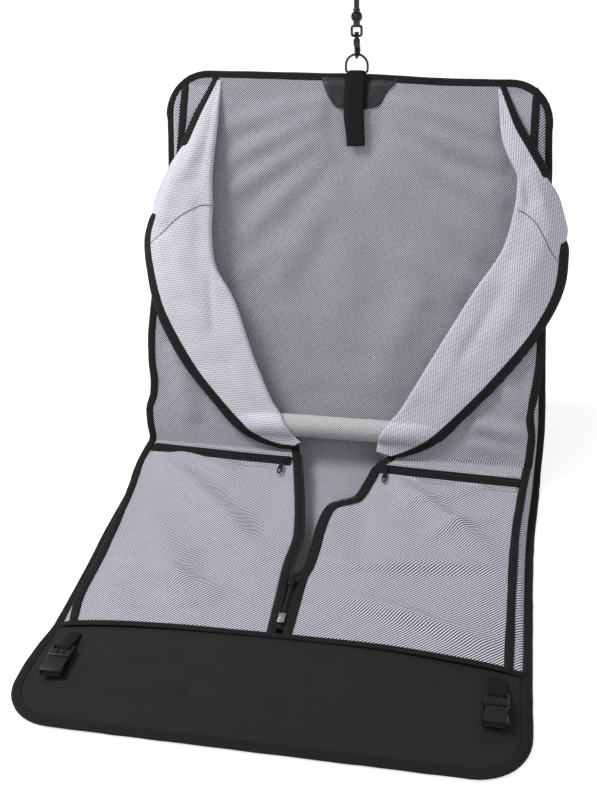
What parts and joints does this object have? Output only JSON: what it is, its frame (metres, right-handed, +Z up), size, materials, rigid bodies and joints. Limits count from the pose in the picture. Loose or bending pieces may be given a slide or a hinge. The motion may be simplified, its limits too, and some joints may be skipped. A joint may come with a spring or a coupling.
{
  "type": "garment bag",
  "caption": "Bi-fold garment bag, hung open: upper half leans back, lower half lies flat, zipped mesh front folded back as flaps, padded roll across the fold, swivel hanging hook.",
  "frame": {"origin": "the point inside the hanging hook's bend that bears on a rail", "axes": "+Z up, +X to the bag's right as seen from the front, +Y away from the viewer; the lower half reaches along -Y"},
  "size_m": [0.6685, 0.8575, 0.739],
  "materials": {
    "shell": "matt black woven nylon",
    "lining": "pale grey-violet mesh with fine dark diagonal dots",
    "cloth": "pale grey-violet cloth, dotted outside and pinstriped inside",
    "binding": "black woven binding tape",
    "webbing": "black ribbed webbing",
    "patch": "dark grey-violet patch with a sheen",
    "metal": "gunmetal plating",
    "bright_metal": "bright zip metal",
    "plastic": "black moulded plastic",
    "padding": "pale warm grey dotted mesh over foam"
  },
  "bodies": {
    "upper_half": {"back_shell_upper": "shell", "fold_shell": "shell", "back_lining_upper": "lining", "fold_lining": "lining", "gusset_upper_left": "cloth", "gusset_upper_right": "cloth", "front_panel_upper_left": "cloth", "front_panel_upper_right": "cloth", "flap_crease_left": "cloth", "flap_crease_right": "cloth", "binding_upper": "binding", "inner_binding_upper_left": "binding", "inner_binding_upper_right": "binding", "fold_binding_left": "binding", "fold_binding_right": "binding", "ring_loop": "webbing", "bolster_strap_left": "webbing", "bolster_strap_right": "webbing", "hanger_patch": "patch", "bolster": "padding"},
    "lower_half": {"back_shell_lower": "shell", "back_lining_lower": "lining", "binding_lower": "binding", "gusset_lower_left": "cloth", "gusset_lower_right": "cloth", "inner_binding_lower_left": "binding", "inner_binding_lower_right": "binding", "front_panel_lower_left": "cloth", "front_panel_lower_right": "cloth", "centre_tape_left": "binding", "centre_tape_right": "binding", "centre_chain": "binding", "bottom_seam_binding": "binding", "bottom_panel": "shell", "pocket_tape_left": "binding", "pocket_tape_right": "binding", "buckle_webbing_left": "webbing", "buckle_webbing_right": "webbing"},
    "flap_left": {"flap_left": "cloth", "flap_top_binding_left": "binding", "flap_centre_binding_left": "binding"},
    "flap_right": {"flap_right": "cloth", "flap_top_binding_right": "binding", "flap_centre_binding_right": "binding"},
    "hanger_strap": {"hanger_strap": "webbing"},
    "d_ring": {"d_ring": "metal"},
    "snap_hook": {"snap_hook": "metal"},
    "snap_gate": {"snap_gate": "metal"},
    "swivel_yoke": {"swivel_yoke": "metal"},
    "hanging_hook": {"hanging_hook": "metal"},
    "centre_slider": {"centre_slider": "plastic"},
    "centre_pull": {"centre_pull": "plastic"},
    "lower_slider": {"lower_slider": "bright_metal"},
    "pocket_slider_left": {"pocket_slider_left": "plastic"},
    "pocket_pull_left": {"pocket_pull_left": "plastic"},
    "pocket_slider_right": {"pocket_slider_right": "plastic"},
    "pocket_pull_right": {"pocket_pull_right": "plastic"},
    "buckle_left": {"buckle_left": "plastic"},
    "buckle_right": {"buckle_right": "plastic"}
  },
  "joints": [
    {"name": "fold", "type": "hinge", "parent": "upper_half", "child": "lower_half", "pos_m": [0, -0.27303, -0.69506], "axis": [1, 0, 0], "range_deg": [-85, 65], "deforming": ["fold_shell", "fold_lining", "fold_binding_left", "fold_binding_right"]},
    {"name": "flap_left_open", "type": "hinge", "parent": "upper_half", "child": "flap_left", "pos_m": [-0.203, -0.02075, -0.19914], "axis": [-0.2493, 0.4407, 0.8623], "range_deg": [0, 130], "deforming": ["flap_crease_left"]},
    {"name": "flap_right_open", "type": "hinge", "parent": "upper_half", "child": "flap_right", "pos_m": [0.203, -0.02075, -0.19914], "axis": [-0.2493, -0.4407, -0.8623], "range_deg": [0, 130], "deforming": ["flap_crease_right"]},
    {"name": "strap_lift", "type": "hinge", "parent": "upper_half", "child": "hanger_strap", "pos_m": [0, -0.00683, -0.18023], "axis": [-1, 0, 0], "range_deg": [0, 120]},
    {"name": "ring_swing", "type": "hinge", "parent": "upper_half", "child": "d_ring", "pos_m": [0, 0, -0.1802], "axis": [-1, 0, 0], "range_deg": [-60, 45]},
    {"name": "snap_swing", "type": "hinge", "parent": "d_ring", "child": "snap_hook", "pos_m": [0, 0, -0.1528], "axis": [-1, 0, 0], "range_deg": [-40, 40]},
    {"name": "snap_gate_open", "type": "hinge", "parent": "snap_hook", "child": "snap_gate", "pos_m": [0, -0.0072, -0.146], "axis": [1, 0, 0], "range_deg": [0, 20], "stiffness_Nm_per_rad": 0.02, "springref_deg": -11.46},
    {"name": "swivel_turn", "type": "hinge", "parent": "snap_hook", "child": "swivel_yoke", "pos_m": [0, 0, -0.128], "axis": [0, 0, 1], "continuous": true},
    {"name": "hook_tilt", "type": "hinge", "parent": "swivel_yoke", "child": "hanging_hook", "pos_m": [0, 0, -0.098], "axis": [0, 1, 0], "range_deg": [-40, 40]},
    {"name": "centre_zip", "type": "slide", "parent": "lower_half", "child": "centre_slider", "axis": [0, 1, 0], "range_m": [-0.045, 0.26]},
    {"name": "centre_pull_lift", "type": "hinge", "parent": "centre_slider", "child": "centre_pull", "pos_m": [-0.006, -0.56703, -0.69886], "axis": [-1, 0, 0], "range_deg": [0, 150]},
    {"name": "lower_zip", "type": "slide", "parent": "lower_half", "child": "lower_slider", "axis": [0, 1, 0], "range_m": [0, 0.045]},
    {"name": "pocket_zip_left", "type": "slide", "parent": "lower_half", "child": "pocket_slider_left", "axis": [-0.9989, 0.0459, 0], "range_m": [0, 0.18]},
    {"name": "pocket_pull_left_lift", "type": "hinge", "parent": "pocket_slider_left", "child": "pocket_pull_left", "pos_m": [-0.0725, -0.30793, -0.6939], "axis": [-1, 0, 0], "range_deg": [0, 100]},
    {"name": "pocket_zip_right", "type": "slide", "parent": "lower_half", "child": "pocket_slider_right", "axis": [0.9985, -0.0549, 0], "range_m": [0, 0.165]},
    {"name": "pocket_pull_right_lift", "type": "hinge", "parent": "pocket_slider_right", "child": "pocket_pull_right", "pos_m": [0.0865, -0.30993, -0.6939], "axis": [-1, 0, 0], "range_deg": [0, 100]},
    {"name": "buckle_left_lift", "type": "hinge", "parent": "lower_half", "child": "buckle_left", "pos_m": [-0.264, -0.73703, -0.71364], "axis": [-1, 0, 0], "range_deg": [0, 95]},
    {"name": "buckle_right_lift", "type": "hinge", "parent": "lower_half", "child": "buckle_right", "pos_m": [0.264, -0.73703, -0.71364], "axis": [-1, 0, 0], "range_deg": [0, 95]}
  ]
}
